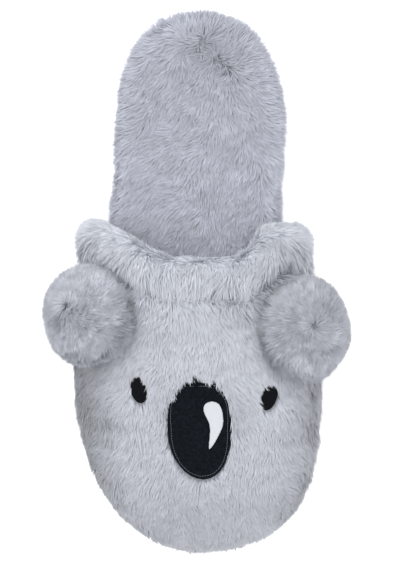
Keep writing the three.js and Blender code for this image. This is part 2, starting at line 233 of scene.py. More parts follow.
def finished(piece):
    """Turns a piece with modifiers into a plain mesh."""
    graph = bpy.context.evaluated_depsgraph_get()
    mesh = bpy.data.meshes.new_from_object(
        piece.evaluated_get(graph), preserve_all_data_layers=True, depsgraph=graph)
    old = piece.data
    piece.modifiers.clear()
    piece.data = mesh
    mesh.name = piece.name
    bpy.data.meshes.remove(old)
    return piece


def even_skin(node, name, cell, rounds):
    """A copy of a CAD node with small even faces and softened edges."""
    piece = link(name, merged_copy(node, name))
    remesh = piece.modifiers.new("Even Faces", "REMESH")
    remesh.mode = "VOXEL"
    remesh.voxel_size = cell
    remesh.use_smooth_shade = True
    soften = piece.modifiers.new("Soften", "SMOOTH")
    soften.factor = 0.5
    soften.iterations = rounds
    return finished(piece)


def carry(piece, slot, *nodes):
    """Hangs a piece on the slipper's body and hides the nodes it stands for. Its slot is not used.
    """
    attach(piece, body)
    if nodes:
        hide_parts(*nodes)


# Noise for the lie of the fur


def waves(co, size, seed):
    """Smooth values between about -1 and 1 that change over a distance of size."""
    random = np.random.default_rng(seed)
    total = np.zeros(len(co))
    count = 9
    slowest, fastest = 0.6, 1.5
    usual_peak = 1.6
    for _ in range(count):
        turn = random.normal(size=3)
        turn *= random.uniform(slowest, fastest) / (np.linalg.norm(turn) * size)
        total += np.sin(co @ turn * 2 * math.pi + random.uniform(0, 2 * math.pi))
    return total / math.sqrt(count / 2) / usual_peak


def comb(mesh, flow, lift, ruffle, seed):
    """Gives each vertex the way its fur lies: along flow on the surface, lifted by an angle
    in degrees, and turned aside in swirls by up to about ruffle degrees."""
    co, out = positions(mesh), normals(mesh)
    along = flow - out * np.sum(flow * out, axis=1, keepdims=True)
    # Where the flow points out of the skin and leaves little along it, the fur hangs down
    unled = np.linalg.norm(along, axis=1, keepdims=True) < 0.12
    down = -unit_up - out * -out[:, 2:3]
    along = unit(np.where(unled, along + 0.4 * down, along))
    side = np.cross(out, along)
    swirls = ((6 * mm, 0.5, 0), (14 * mm, 0.6, 1), (35 * mm, 0.6, 3))  # size, share, seed step
    turn = sum(share * waves(co, size, seed + step) for size, share, step in swirls)
    turn = np.radians(ruffle * turn)[:, None]
    along = along * np.cos(turn) + side * np.sin(turn)
    angle = np.radians(lift * (1 + 0.25 * waves(co, 12 * mm, seed + 2)))[:, None]
    store(mesh, "lie", unit(along * np.cos(angle) + out * np.sin(angle)))
    store(mesh, "skin_normal", out)


# Geometry nodes


def add(tree, kind, inputs=None, **settings):
    """A node with its settings and its inputs: values are set and sockets are linked."""
    node = tree.nodes.new(kind)
    for key, value in settings.items():
        setattr(node, key, value)
    for key, value in (inputs or {}).items():
        socket = node.inputs[key]
        if isinstance(value, bpy.types.NodeSocket):
            tree.links.new(value, socket)
        else:
            socket.default_value = value
    return node


def calc(tree, operation, a, b=0.0):
    """The result of a Math node."""
    return add(tree, "ShaderNodeMath", {0: a, 1: b}, operation=operation).outputs[0]


def vector_calc(tree, operation, inputs):
    """The result of a Vector Math node."""
    outputs = add(tree, "ShaderNodeVectorMath", inputs, operation=operation).outputs
    return outputs["Value" if operation == "DOT_PRODUCT" else "Vector"]


def named(sockets, name):
    """The first socket of a name."""
    return [socket for socket in sockets if socket.name == name][0]


def new_group(tree_kind, name, inputs, output):
    """A node group with its inputs, some with a value, and one output. Gives the tree and the
    sockets from which its inputs come."""
    tree = bpy.data.node_groups.new(name, tree_kind)
    for label, kind, *value in inputs:
        socket = tree.interface.new_socket(label, in_out="INPUT", socket_type=f"NodeSocket{kind}")
        if value:
            socket.default_value = value[0]
    label, kind = output
    tree.interface.new_socket(label, in_out="OUTPUT", socket_type=f"NodeSocket{kind}")
    return tree, add(tree, "NodeGroupInput").outputs


def end_geometry(tree, instances, material):
    """Makes instances real, gives them their material and ends the tree."""
    real = add(tree, "GeometryNodeRealizeInstances", {"Geometry": instances})
    dressed = add(tree, "GeometryNodeSetMaterial",
                  {"Geometry": real.outputs[0], "Material": material})
    add(tree, "NodeGroupOutput", {"Geometry": dressed.outputs[0]})


def lock_shape():
    """One lock of fur: a bent kite of unit length along +Y, with its height along +Z."""
    mesh = bpy.data.meshes.new("fur_lock")
    widest, arch, droop = 0.36, 0.035, -0.06
    corners = [(0, 0, 0), (0.5, widest, arch), (-0.5, widest, arch), (0, 1, droop)]
    mesh.from_pydata(corners, [], [(0, 1, 2), (2, 1, 3)])
    store(mesh, "reach", np.array([0.0, widest, widest, 1.0]))
    link("fur_lock", mesh)


def fur_tree():
    """Covers a skin with locks that lie as its own values say."""
    tree, given = new_group("GeometryNodeTree", "Lay Fur", [
        ("Geometry", "Geometry"), ("Density", "Float"), ("Length", "Float"),
        ("Width", "Float"), ("Scatter", "Float"), ("Ragged", "Float"), ("Seed", "Int"),
        ("Lock", "Object"), ("Face", "Object"), ("Material", "Material"),
    ], ("Geometry", "Geometry"))

    def value(name, kind="FLOAT"):
        node = add(tree, "GeometryNodeInputNamedAttribute", {"Name": name}, data_type=kind)
        return node.outputs["Attribute"]

    def chance(low, high, seed):
        node = add(tree, "FunctionNodeRandomValue", data_type="FLOAT")
        for socket, number in zip([s for s in node.inputs if s.enabled], (low, high)):
            socket.default_value = number
        seed_value = calc(tree, "ADD", given["Seed"], float(seed))
        tree.links.new(seed_value, named(node.inputs, "Seed"))
        return [s for s in node.outputs if s.enabled][0]

    density = calc(tree, "MULTIPLY", given["Density"], value("fullness"))
    spread = add(tree, "GeometryNodeDistributePointsOnFaces",
                 {"Mesh": given["Geometry"], "Seed": given["Seed"]}, distribute_method="RANDOM")
    tree.links.new(density, named(spread.inputs, "Density"))
    lie, skin = value("lie", "FLOAT_VECTOR"), value("skin_normal", "FLOAT_VECTOR")
    turn = add(tree, "FunctionNodeAxesToRotation", {"Primary Axis": lie, "Secondary Axis": skin},
               primary_axis="Y", secondary_axis="Z")
    aside = add(tree, "ShaderNodeCombineXYZ",
                {axis: calc(tree, "MULTIPLY", given["Scatter"], chance(-share, share, seed))
                 for axis, share, seed in (("X", 0.6, 11), ("Y", 2.5, 12), ("Z", 1.0, 13))})
    stray = add(tree, "FunctionNodeEulerToRotation", {"Euler": aside.outputs[0]})
    turned = add(tree, "FunctionNodeRotateRotation",
                 {"Rotation": turn.outputs[0], "Rotate By": stray.outputs[0]},
                 rotation_space="LOCAL")

    # The face patches stop the locks that run towards them, and no lock grows under a patch
    face = add(tree, "GeometryNodeObjectInfo", {"Object": given["Face"]}).outputs["Geometry"]
    here = add(tree, "GeometryNodeInputPosition").outputs[0]

    def cast(way, height, reach):
        start = vector_calc(tree, "MULTIPLY_ADD", {0: skin, 1: (height,) * 3, 2: here})
        return add(tree, "GeometryNodeRaycast",
                   {"Target Geometry": face, "Source Position": start,
                    "Ray Direction": way, "Ray Length": reach}).outputs

    rise = vector_calc(tree, "DOT_PRODUCT", {0: lie, 1: skin})
    upward = vector_calc(tree, "SCALE", {0: skin, "Scale": rise})
    ahead = vector_calc(tree, "SUBTRACT", {0: lie, 1: upward})
    wall = cast(ahead, height=1.1 * mm, reach=14 * mm)
    slant = 1.1  # length of a lifted lock for each length along the skin
    shortest = 0.4 * mm
    endless = 1.0
    room = calc(tree, "ADD", wall["Hit Distance"], value("overhang"))
    room = calc(tree, "MAXIMUM", calc(tree, "MULTIPLY", room, slant), shortest)
    room = calc(tree, "ADD", room, calc(tree, "SUBTRACT", endless, wall["Is Hit"]))
    covered = cast(skin, height=-1.0 * mm, reach=7 * mm)["Is Hit"]
    shown = add(tree, "FunctionNodeBooleanMath", {0: covered}, operation="NOT").outputs[0]

    longest = 1.15
    grown = calc(tree, "MULTIPLY", given["Length"], value("growth"))
    missing = calc(tree, "MULTIPLY", given["Ragged"], chance(0.0, 1.0, seed=14))
    uneven = calc(tree, "SUBTRACT", longest, missing)
    length = calc(tree, "MINIMUM", calc(tree, "MULTIPLY", grown, uneven), room)
    width = calc(tree, "MULTIPLY", given["Width"], chance(0.7, 1.35, seed=15))
    size = add(tree, "ShaderNodeCombineXYZ", {"X": width, "Y": length, "Z": length})
    lock = add(tree, "GeometryNodeObjectInfo", {"Object": given["Lock"]})
    laid = add(tree, "GeometryNodeInstanceOnPoints",
               {"Points": spread.outputs["Points"], "Selection": shown,
                "Instance": lock.outputs["Geometry"],
                "Rotation": turned.outputs[0], "Scale": size.outputs[0]})
    toned = add(tree, "GeometryNodeStoreNamedAttribute",
                {"Geometry": laid.outputs[0], "Name": "tone"},
                data_type="FLOAT", domain="INSTANCE")
    strand = add(tree, "ShaderNodeTexNoise",
                 {"Vector": here, "Scale": 330.0, "Detail": 1.0}).outputs[0]
    strand = spread_range(tree, strand, (0.32, 0.68), (0.0, 0.65))
    tone = calc(tree, "ADD", strand, chance(0.0, 0.35, seed=16))
    tree.links.new(tone, named(toned.inputs, "Value"))
    end_geometry(tree, toned.outputs[0], given["Material"])


def stitch_tree():
    """Small stitches along a closed line."""
    tree, given = new_group("GeometryNodeTree", "Run Stitches", [
        ("Geometry", "Geometry"), ("Spacing", "Float"), ("Material", "Material"),
    ], ("Geometry", "Geometry"))
    line = add(tree, "GeometryNodeMeshToCurve", {"Mesh": given["Geometry"]}).outputs[0]
    spots = add(tree, "GeometryNodeResampleCurve", {"Curve": line, "Length": given["Spacing"]},
                mode="LENGTH").outputs[0]
    tangent = add(tree, "GeometryNodeInputTangent").outputs[0]
    turn = add(tree, "FunctionNodeAlignRotationToVector", {"Vector": tangent}, axis="X")
    bead = add(tree, "GeometryNodeMeshUVSphere", {"Segments": 8, "Rings": 6, "Radius": 0.5})
    filled = 0.78
    width, height = 0.32 * mm, 0.3 * mm
    length = calc(tree, "MULTIPLY", given["Spacing"], filled)
    size = add(tree, "ShaderNodeCombineXYZ", {"X": length, "Y": width, "Z": height})
    laid = add(tree, "GeometryNodeInstanceOnPoints",
               {"Points": spots, "Instance": bead.outputs["Mesh"],
                "Rotation": turn.outputs[0], "Scale": size.outputs[0]})
    end_geometry(tree, laid.outputs[0], given["Material"])
    return tree


def set_inputs(modifier, values):
    """Sets a Geometry Nodes modifier's inputs by their names."""
    for item in modifier.node_group.interface.items_tree:
        if item.in_out == "INPUT" and item.name in values:
            modifier[item.identifier] = values[item.name]


def inset_outline(mesh, inset):
    """The outline of a patch in plan, drawn in and laid on the patch's top."""
    co = positions(mesh)
    middle = (co.min(axis=0) + co.max(axis=0)) / 2
    tree = search_tree(mesh)
    away = co[:, :2] - middle[:2]
    bearing = np.arctan2(away[:, 1], away[:, 0])
    reach = np.linalg.norm(away, axis=1)
    points = []
    count = 120
    slice_half = 0.06
    overhead = 0.2
    for k in range(count):
        angle = 2 * math.pi * k / count - math.pi
        beside = np.abs(np.angle(np.exp(1j * (bearing - angle)))) < slice_half
        radius = reach[beside].max() - inset
        x = middle[0] + radius * math.cos(angle)
        y = middle[1] + radius * math.sin(angle)
        found = tree.ray_cast(Vector((x, y, overhead)), Vector((0, 0, -1)))[0]
        points.append((x, y, found.z))
    return points


def surface_area(mesh, weight):
    """Area of a mesh, each face counted with its vertices' mean weight."""
    mesh.calc_loop_triangles()
    corners = np.empty(len(mesh.loop_triangles) * 3, np.int32)
    mesh.loop_triangles.foreach_get("vertices", corners)
    corners = corners.reshape(-1, 3)
    a, b, c = (positions(mesh)[corners[:, k]] for k in range(3))
    area = np.linalg.norm(np.cross(b - a, c - a), axis=1) / 2
    return float(np.sum(area * weight[corners].mean(axis=1)))


def bake_cells(mesh):
    """A map on which each lock has a small cell of its own, row by row."""
    near_side, far_side, belly = 0.12, 0.88, 0.2
    shape = np.array([[near_side, near_side], [far_side, belly],
                      [belly, far_side], [far_side, far_side]])
    count = len(mesh.vertices) // len(shape)
    columns = math.ceil(math.sqrt(count))
    rows = math.ceil(count / columns)
    cell = np.array([1 / columns, 1 / rows])
    lock = np.arange(count)
    corner = np.stack([lock % columns, lock // columns], axis=1) * cell
    points = corner[:, None, :] + shape[None, :, :] * cell
    loops = np.empty(len(mesh.loops), np.int32)
    mesh.loops.foreach_get("vertex_index", loops)
    layer = mesh.uv_layers.new(name="OFBake")
    layer.data.foreach_set("uv", points.reshape(-1, 2)[loops].astype(np.float32).ravel())


def lay_fur(skin, name, count, length, material, seed, scatter, width, ragged, face=None):
    """Covers a skin with about count locks as a piece of its own. Scatter is in degrees, and
    ragged is the range of the locks' lengths as a share of length."""
    mesh = skin.data
    fullness = np.empty(len(mesh.vertices), np.float32)
    mesh.attributes["fullness"].data.foreach_get("value", fullness)
    settings = bpy.context.scene.slipper_fur
    values = {
        "Density": count / surface_area(mesh, fullness),
        "Length": length,
        "Width": settings.lock_width * width,
        "Scatter": math.radians(scatter),
        "Ragged": ragged,
        "Seed": seed,
        "Lock": bpy.data.objects["fur_lock"],
        "Face": face,
        "Material": material,
    }
    piece = link(name, mesh.copy())
    modifier = piece.modifiers.new("Fur", "NODES")
    modifier.node_group = bpy.data.node_groups["Lay Fur"]
    set_inputs(modifier, values)
    finished(piece)
    bake_cells(piece.data)
    return piece


# Materials


def new_material(name, roughness, sheen=0.0, gloss=0.25):
    """A material, its node tree and its shader."""
    material = bpy.data.materials.new(name)
    material.use_nodes = True
    shader = material.node_tree.nodes["Principled BSDF"]
    for key, value in (("Roughness", roughness), ("Specular IOR Level", gloss),
                       ("Sheen Weight", sheen), ("Sheen Roughness", 0.5)):
        shader.inputs[key].default_value = value
    return material, material.node_tree, shader


def times(colour, factor):
    """A colour made darker or lighter by a factor."""
    return tuple(part * factor for part in colour)


def mix_colour(tree, share, a, b):
    """The result of a colour Mix node."""
    return add(tree, "ShaderNodeMix", {0: share, 6: a, 7: b}, data_type="RGBA").outputs[2]


def stored(tree, name, output="Fac"):
    """A value that the mesh carries."""
    return add(tree, "ShaderNodeAttribute", attribute_name=name).outputs[output]


def add_bump(tree, shader, height, strength, depth):
    """Makes a shader's surface uneven."""
    bump = add(tree, "ShaderNodeBump",
               {"Strength": strength, "Distance": depth, "Height": height})
    tree.links.new(bump.outputs[0], shader.inputs["Normal"])


def noise_value(tree, scale, detail=3.0, stretch=(1, 1, 1)):
    """Noise on the object's own coordinates."""
    place = add(tree, "ShaderNodeTexCoord").outputs["Object"]
    mapped = add(tree, "ShaderNodeMapping", {"Vector": place, "Scale": stretch})
    node = add(tree, "ShaderNodeTexNoise",
               {"Vector": mapped.outputs[0], "Scale": scale, "Detail": detail})
    return node.outputs[0]


def spread_range(tree, value, old, new):
    """A value moved from an old range to a new one, each given by its two ends."""
    node = add(tree, "ShaderNodeMapRange", {"Value": value, "From Min": old[0],
                                            "From Max": old[1], "To Min": new[0],
                                            "To Max": new[1]})
    return node.outputs[0]


def fur_colour_group():
    """Colour of a lock: darker at its root, toned lock by lock and in soft patches, and scaled by
    the painted shade and light that its skin carries.
    """
    tree, given = new_group("ShaderNodeTree", "Fur Colour", [
        ("Root", "Color"), ("Tip", "Color"), ("Variation", "Float"), ("Patches", "Float", 0.10),
    ], ("Colour", "Color"))
    along = spread_range(tree, stored(tree, "reach"), (0.0, 0.75), (0.0, 1.0))
    base = mix_colour(tree, along, given["Root"], given["Tip"])
    tone = calc(tree, "SUBTRACT", stored(tree, "tone"), 0.5)
    one_lock = calc(tree, "MULTIPLY", tone, given["Variation"])
    patch = calc(tree, "SUBTRACT", noise_value(tree, scale=45.0), 0.5)
    patch = calc(tree, "MULTIPLY", patch, given["Patches"])
    # The skin's painted shade and light scales the colour
    level = calc(tree, "ADD", calc(tree, "ADD", one_lock, patch), stored(tree, "shade"))
    shaded = vector_calc(tree, "SCALE", {0: base, "Scale": level})
    add(tree, "NodeGroupOutput", {"Colour": shaded})


def fur_normal_group():
    """Normal of a lock, eased towards its skin's and never turned to its far side."""
    tree, given = new_group("ShaderNodeTree", "Fur Normal", [("Softness", "Float", 0.75)],
                            ("Normal", "Vector"))
    skin = stored(tree, "skin_normal", "Vector")
    own = add(tree, "ShaderNodeNewGeometry").outputs["Normal"]
    across = vector_calc(tree, "DOT_PRODUCT", {0: skin, 1: own})
    behind = calc(tree, "MULTIPLY", calc(tree, "MINIMUM", across, 0.0), -2.0)
    shift = vector_calc(tree, "SCALE", {0: own, "Scale": behind})
    facing = vector_calc(tree, "ADD", {0: skin, 1: shift})
    both = add(tree, "ShaderNodeMix", {0: given["Softness"], 4: own, 5: facing},
               data_type="VECTOR")
    even = vector_calc(tree, "NORMALIZE", {0: both.outputs[1]})
    add(tree, "NodeGroupOutput", {"Normal": even})


def fur_material(name, root, tip, variation):
    """Fur that takes light mostly as its skin does, so that single locks don't glitter."""
    material, tree, shader = new_material(name, roughness=0.9, sheen=0.15)
    colour = add(tree, "ShaderNodeGroup", node_tree=bpy.data.node_groups["Fur Colour"])
    for key, value in (("Root", (*root, 1)), ("Tip", (*tip, 1)), ("Variation", variation)):
        colour.inputs[key].default_value = value
    tree.links.new(colour.outputs[0], shader.inputs["Base Color"])
    normal = add(tree, "ShaderNodeGroup", node_tree=bpy.data.node_groups["Fur Normal"])
    tree.links.new(normal.outputs[0], shader.inputs["Normal"])
    return material


def backing_material(name, colour):
    """The dense under-fur that shows between the locks."""
    material, tree, shader = new_material(name, roughness=0.95, sheen=0.1)
    share = noise_value(tree, scale=900.0, detail=4.0, stretch=(1, 0.3, 1))
    mixed = mix_colour(tree, share, (*times(colour, 0.72), 1), (*colour, 1))
    # Scaled by the skin's painted shade and light
    shaded = vector_calc(tree, "SCALE", {0: mixed, "Scale": stored(tree, "shade")})
    tree.links.new(shaded, shader.inputs["Base Color"])
    add_bump(tree, shader, share, strength=0.5, depth=0.6 * mm)
    return material


def rubber_material():
    """Grey moulded rubber with a fine stipple and worn high spots."""
    material, tree, shader = new_material("sole_rubber", roughness=0.7)
    dark, pale = (0.085, 0.088, 0.105, 1), (0.125, 0.128, 0.150, 1)
    grain = noise_value(tree, scale=1400.0, detail=2.0)
    patch = noise_value(tree, scale=60.0, detail=4.0)
    tree.links.new(mix_colour(tree, patch, dark, pale), shader.inputs["Base Color"])
    rough = spread_range(tree, patch, (0.3, 0.7), (0.6, 0.82))
    tree.links.new(rough, shader.inputs["Roughness"])
    add_bump(tree, shader, grain, strength=0.4, depth=0.3 * mm)
    return material


def felt_material(colour):
    """Black felt: matt, with short fibres and a little lint."""
    material, tree, shader = new_material("nose_felt", roughness=0.9, gloss=0.12)
    fibres = noise_value(tree, scale=700.0, detail=5.0)
    share = spread_range(tree, fibres, (0.40, 0.75), (0.0, 1.0))
    mixed = mix_colour(tree, share, (*colour, 1), (*times(colour, 3.5), 1))
    tree.links.new(mixed, shader.inputs["Base Color"])
    add_bump(tree, shader, fibres, strength=0.7, depth=0.5 * mm)
    return material


def thread_material(name, colour, roughness=0.5, gloss=0.25):
    """Satin stitch: fine parallel threads."""
    material, tree, shader = new_material(name, roughness, gloss=gloss)
    place = add(tree, "ShaderNodeTexCoord").outputs["Object"]
    threads = add(tree, "ShaderNodeTexWave",
                  {"Vector": place, "Scale": 2600.0, "Distortion": 0.6, "Detail": 1.0},
                  bands_direction="Y").outputs["Fac"]
    mixed = mix_colour(tree, threads, (*times(colour, 0.6), 1), (*colour, 1))
    tree.links.new(mixed, shader.inputs["Base Color"])
    add_bump(tree, shader, threads, strength=0.5, depth=0.2 * mm)
    return material


def shared_parts():
    """The lock, the fur tree and the two shader groups, made once."""
    if "fur_lock" not in bpy.data.objects:
        lock_shape()
        fur_tree()
        fur_colour_group()
        fur_normal_group()


def furred(node, label, cell, rounds, dress, count, length, slot, tip, seed,
           root=None, under=None, variation=0.16, scatter=11, width=1.0, ragged=0.45,
           face=None):
    """A plush piece for one CAD node. Its skin has even faces of the cell's size, is softened
    in some rounds, then combed and shaded by dress. Its fur is laid on that skin."""
    shared_parts()
    root = root or bpy.context.scene.slipper_fur.root_colour
    skin = even_skin(node, f"{label}_backing", cell, rounds)
    dress(skin.data)
    skin.data.materials.append(backing_material(f"{label}_underfur", under or root))
    material = fur_material(f"{label}_fur", root, tip, variation)
    fur = lay_fur(skin, f"{label}_fur", count, length, material, seed, scatter, width,
                  ragged, face)
    carry(skin, slot, node)
    carry(fur, slot)


# How each plush piece is combed, and where shade and light are painted on it

# Places on the plan, each with its x, its y and its reach. The cheek, jowl, inner toe, inner heel
# and under-roll places mark painted shade; the outer toe is swelled, and the tousled patch is
# ruffled and darker.
outer_cheek = (-0.050, -0.072, 0.030)
outer_jowl = (-0.040, -0.095, 0.020)
outer_toe = (-0.044, -0.116, 0.024)
inner_toe = (0.038, -0.110, 0.014)
tousled_patch = (0.017, -0.006, 0.019)
under_roll = (0.031, 0.018, 0.014)
inner_heel = (0.020, 0.121, 0.024)

core_height = 0.024  # of the line that the vamp and the roll arch over
parting = np.array([(0.0, 0.122, 0.0), (0.014, 0.110, 0.0)])
wisp_spots = (-6.0 * mm, -1.0 * mm, 8.3 * mm)  # across, from the nose's middle


def smooth(low, high, values):
    """A soft step from 0 at low to 1 at high."""
    t = np.clip((values - low) / (high - low), 0, 1)
    return t * t * (3 - 2 * t)


def near(co, place):
    """A soft share round a place on the plan: 1 at its middle and 0 past its reach."""
    x, y, reach = place
    return 1 - smooth(0, reach, np.hypot(co[:, 0] - x, co[:, 1] - y))


def at_heel(co):
    """A soft share that is 1 at the heel's end."""
    return smooth(0.10, 0.125, co[:, 1])


def from_nose(co):
    """How far points lie across from the nose's middle, and half of its width."""
    low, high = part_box("nose")
    return co[:, 0] - (low.x + high.x) / 2, (high.x - low.x) / 2


def gap_to(node, co, reach):
    """Distance of each point to a CAD node, where it is under reach."""
    tree = search_tree(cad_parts[node].data)
    low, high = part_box(node)
    close = np.all((co > np.array(low) - reach) & (co < np.array(high) + reach), axis=1)
    gap = np.full(len(co), reach)
    for i in np.flatnonzero(close):
        found = tree.find_nearest(Vector(co[i]), reach)
        if found[0] is not None:
            gap[i] = found[3]
    return gap


def close_to(node, co, touching, reach):
    """A soft share: 1 within touching of a CAD node, and 0 past reach from it."""
    return 1 - smooth(touching, reach, gap_to(node, co, reach))


def dress_wisps(mesh):
    """Wisps of the nose's own fibres, which stand over the fur at its top."""
    co, out = positions(mesh), normals(mesh)
    aside, _ = from_nose(co)
    at_spot = sum(1 - smooth(0.3 * mm, 1.1 * mm, np.abs(aside - spot)) for spot in wisp_spots)
    below_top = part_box("nose")[1].y - co[:, 1]
    at_top = smooth(4.5 * mm, 3.0 * mm, below_top) * (out[:, 2] > 0.3)
    comb(mesh, np.array((-0.1, 1.0, 0.0)), lift=20, ruffle=20, seed=81)
    store(mesh, "fullness", at_spot * at_top)
    store(mesh, "growth", np.where(np.abs(aside - wisp_spots[1]) < 2 * mm, 1.2, 0.8))
    store(mesh, "overhang", np.zeros(len(co)))


def face_overhang(co):
    """How far the fur reaches over the edge of a face patch: tufts hang over the shoulders
    of the nose, and at the wisps gaps between them let the black show up to its top."""
    aside, half = from_nose(co)
    across = np.abs(aside) / half
    shoulder = smooth(0.15, 0.55, across) * (1 - smooth(0.85, 1.0, across))
    over = (0.9 + np.where(aside > 0, 2.4, 3.4) * shoulder) * mm
    columns = co * np.array([1.0, 0.12, 0.0])
    over += 1.5 * mm * waves(columns, 2.6 * mm, 71) + 0.5 * mm * waves(columns, 1.2 * mm, 72)
    for spot in wisp_spots:
        over -= 3.5 * mm * (1 - smooth(0, 1.5 * mm, np.abs(aside - spot)))
    return np.where((across > 0.9) & (across < 1.3), 0.4 * mm, over)


def dress_upper(mesh):
    """Combs the upper towards the toe, fanning out to its sides."""
    co, out = positions(mesh), normals(mesh)
    # A line inside the vamp, from which its outer skin faces away
    toe_core = toe_end + 45 * mm
    spine = triples(0.0, np.clip(co[:, 1], toe_core, 1), core_height)
    outside = np.sum(out * unit(co - spine), axis=1) > 0.15
    # Millimetres by which the wadding swells the outer side and the outer toe
    plump = 1.2 * smooth(-0.034, -0.052, co[:, 0]) * smooth(0.010, -0.030, co[:, 1])
    plump += 1.6 * near(co, outer_toe)
    co, _ = moved(mesh, out * (outside * plump * mm)[:, None])
    flow = triples(co[:, 0] * 10, -1.0, -0.25)
    tousled = near(co, tousled_patch)
    collar = smooth(-0.030, -0.010, co[:, 1])
    low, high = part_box("nose")
    above = co[:, 1] > (low.y + high.y) / 2
    over_nose = close_to("nose", co, 1 * mm, 8 * mm) * above
    at_cuff = close_to("cuff", co, 0, 8 * mm)
    lift = 28 + 4 * collar + 8 * at_cuff + 24 * over_nose
    comb(mesh, flow, lift, ruffle=30 + 36 * tousled, seed=3)
    back_wall = co[:, 1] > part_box("upper")[1].y - 1 * mm
    fullness = np.where(outside & ~back_wall, 1.0, 0.0)
    at_toe = smooth(-0.085, -0.125, co[:, 1])
    store(mesh, "growth", 1.0 + 0.12 * waves(co, 0.03, 5) - 0.25 * at_toe + 0.20 * collar
          + 0.25 * over_nose)
    store(mesh, "overhang", face_overhang(co))
    # Painted shade down both sides, at the chin and the toe, at the cheek, jowl and inner toe, and
    # where the ears touch; painted light by the roll. The tousled patch is darker.
    lateral = smooth(-0.033, -0.058, co[:, 0])
    medial = smooth(0.035, 0.058, co[:, 0])
    chin = smooth(-0.07, -0.11, co[:, 1])
    shade = 1.0 - 0.42 * lateral - 0.29 * medial - 0.05 * chin - 0.08 * at_toe
    shade -= 0.08 * tousled + 0.10 * near(co, inner_toe)
    shade -= 0.05 * near(co, outer_jowl) + 0.07 * near(co, outer_cheek)
    for ear in ("ear_lateral", "ear_medial"):
        gap = gap_to(ear, co, 5.0 * mm)
        shade -= 0.12 * (1 - smooth(1.5 * mm, 5.0 * mm, gap))
        fullness *= smooth(0.8 * mm, 3.2 * mm, gap)
    shade += 0.14 * at_cuff
    store(mesh, "fullness", fullness)
    # Painted shade on the inner side, which faces into the shoe
    store(mesh, "shade", shade * np.where(outside, 1.0, 0.55))


def dress_cuff(mesh):
    """Combs the roll up its back, over its top towards the toe and down its front. Its brow,
    the steep upper back, is combed outwards along the roll."""
    co, out = positions(mesh), normals(mesh)
    # The roll swells outwards from the arch of the foot's opening, less at its two ends
    round_arch = unit(triples(co[:, 0], 0.0, co[:, 2] - core_height))
    plump = 2.6 * mm * smooth(-0.6, 0.1, np.sum(out * round_arch, axis=1))
    plump *= smooth(-0.5, 0.5, out[:, 1]) * (1 + 0.4 * smooth(0.005, 0.025, co[:, 0]))
    plump *= 1 - 0.6 * smooth(0.034, 0.056, np.abs(co[:, 0]))
    co, out = moved(mesh, out * plump[:, None])
    along_roll = triples(-round_arch[:, 2], 0.0, round_arch[:, 0])
    flow = np.cross(out, along_roll)
    side = smooth(0.02, 0.05, np.abs(co[:, 0]))
    flow[:, 0] += 0.5 * side * np.sign(co[:, 0])
    tousled = near(co, tousled_patch)
    back = smooth(0.70, 0.97, out[:, 1])
    outer = np.sum(out * round_arch, axis=1)
    crest = smooth(0.25, 0.70, out[:, 1]) * (outer > 0)
    front = 1 - smooth(-0.3, 0.4, out[:, 1])
    tufts = np.clip(waves(co, 0.005, 16), 0, 1)
    brow = smooth(0.70, 0.30, out[:, 2]) * smooth(0.2, 0.7, out[:, 1])
    # 1 on the outer side and -1 on the inner side: the way of the brow's fur along the roll
    aside = 1 - 2 * smooth(-0.002, 0.008, co[:, 0])
    flow += (2.0 * brow * aside)[:, None] * along_roll
    lift = 27 - 13 * crest - 17 * front + 12 * crest * tufts + 26 * brow
    comb(mesh, flow, lift, ruffle=28 + 30 * tousled + 16 * brow, seed=13)
    over_platform = co[:, 2] > 16.5 * mm
    store(mesh, "fullness", np.where(over_platform, 1.0 + 0.6 * crest + 0.8 * brow, 0.0))
    lining = 1 - smooth(-0.3, 0.35, outer)
    long = 0.95 + 0.10 * waves(co, 0.03, 15) + 0.50 * front * (1 - side) + 0.05 * side
    long += 0.25 * front * waves(co * np.array([1.0, 0.3, 0.3]), 0.006, 17)
    store(mesh, "growth", long * (1 - 0.35 * back) * (1 - 0.7 * lining))
    # Painted light on the crest, the brow and the band where the brow's fur turns over, easing the
    # shade there; the tousled patch is darker
    store(mesh, "shade", 1.04 - 0.09 * tousled + 0.05 * crest + 0.06 * brow
          + 1.2 * brow * (1 - brow) * (1 - side))


def on_parting(co):
    """The nearest points to co on the short line at the heel where the sole's fur parts."""
    start, line = parting[0], parting[1] - parting[0]
    share = np.clip((co - start)[:, :2] @ line[:2] / (line @ line), 0, 1)
    return start + share[:, None] * line


def heel_shift(co):
    """How the soft heel end stands out behind the firm platform, and draws in at its sides."""
    shift = np.zeros(co.shape)
    narrower = np.where(co[:, 0] > 0, 0.11, 0.05)
    shift[:, 0] = -narrower * co[:, 0] * smooth(0.090, 0.125, co[:, 1])
    shift[:, 1] = 2.2 * mm * smooth(0.105, 0.132, co[:, 1])
    return shift


def from_parting(co):
    """The way from the parting at the heel, shorter close to it and a little wavy."""
    way = co - on_parting(co)
    way[:, 0] += 4 * mm * waves(co, 0.012, 61)
    way[:, 1] += 3 * mm * waves(co, 0.012, 62)
    way[:, 2] = 0
    return unit(way, shortest=10 * mm)


def dress_rim(mesh):
    """Combs the platform's wrap outwards over its edge and down."""
    co, out = moved(mesh, heel_shift(positions(mesh)))
    level = out * np.array([1.0, 1.0, 0.0])
    top = smooth(0.3, 0.8, out[:, 2])
    flow = from_parting(co) + 1.2 * level - 0.3 * unit_up
    comb(mesh, flow, lift=24 + 16 * top, ruffle=24, seed=23)
    off_rubber = 6.2 * mm
    low_band = 11 * mm
    shown = (out[:, 2] > -0.5) & ~under_footbed(co) & (co[:, 2] > off_rubber)
    store(mesh, "fullness", np.where(shown, 1.0, 0.0))
    store(mesh, "growth", np.where(co[:, 2] < low_band, 0.75, 0.95) + 0.35 * at_heel(co))
    # Painted light on the top of the wrap and painted shade down its sides
    store(mesh, "shade", 0.92 + 0.06 * top)


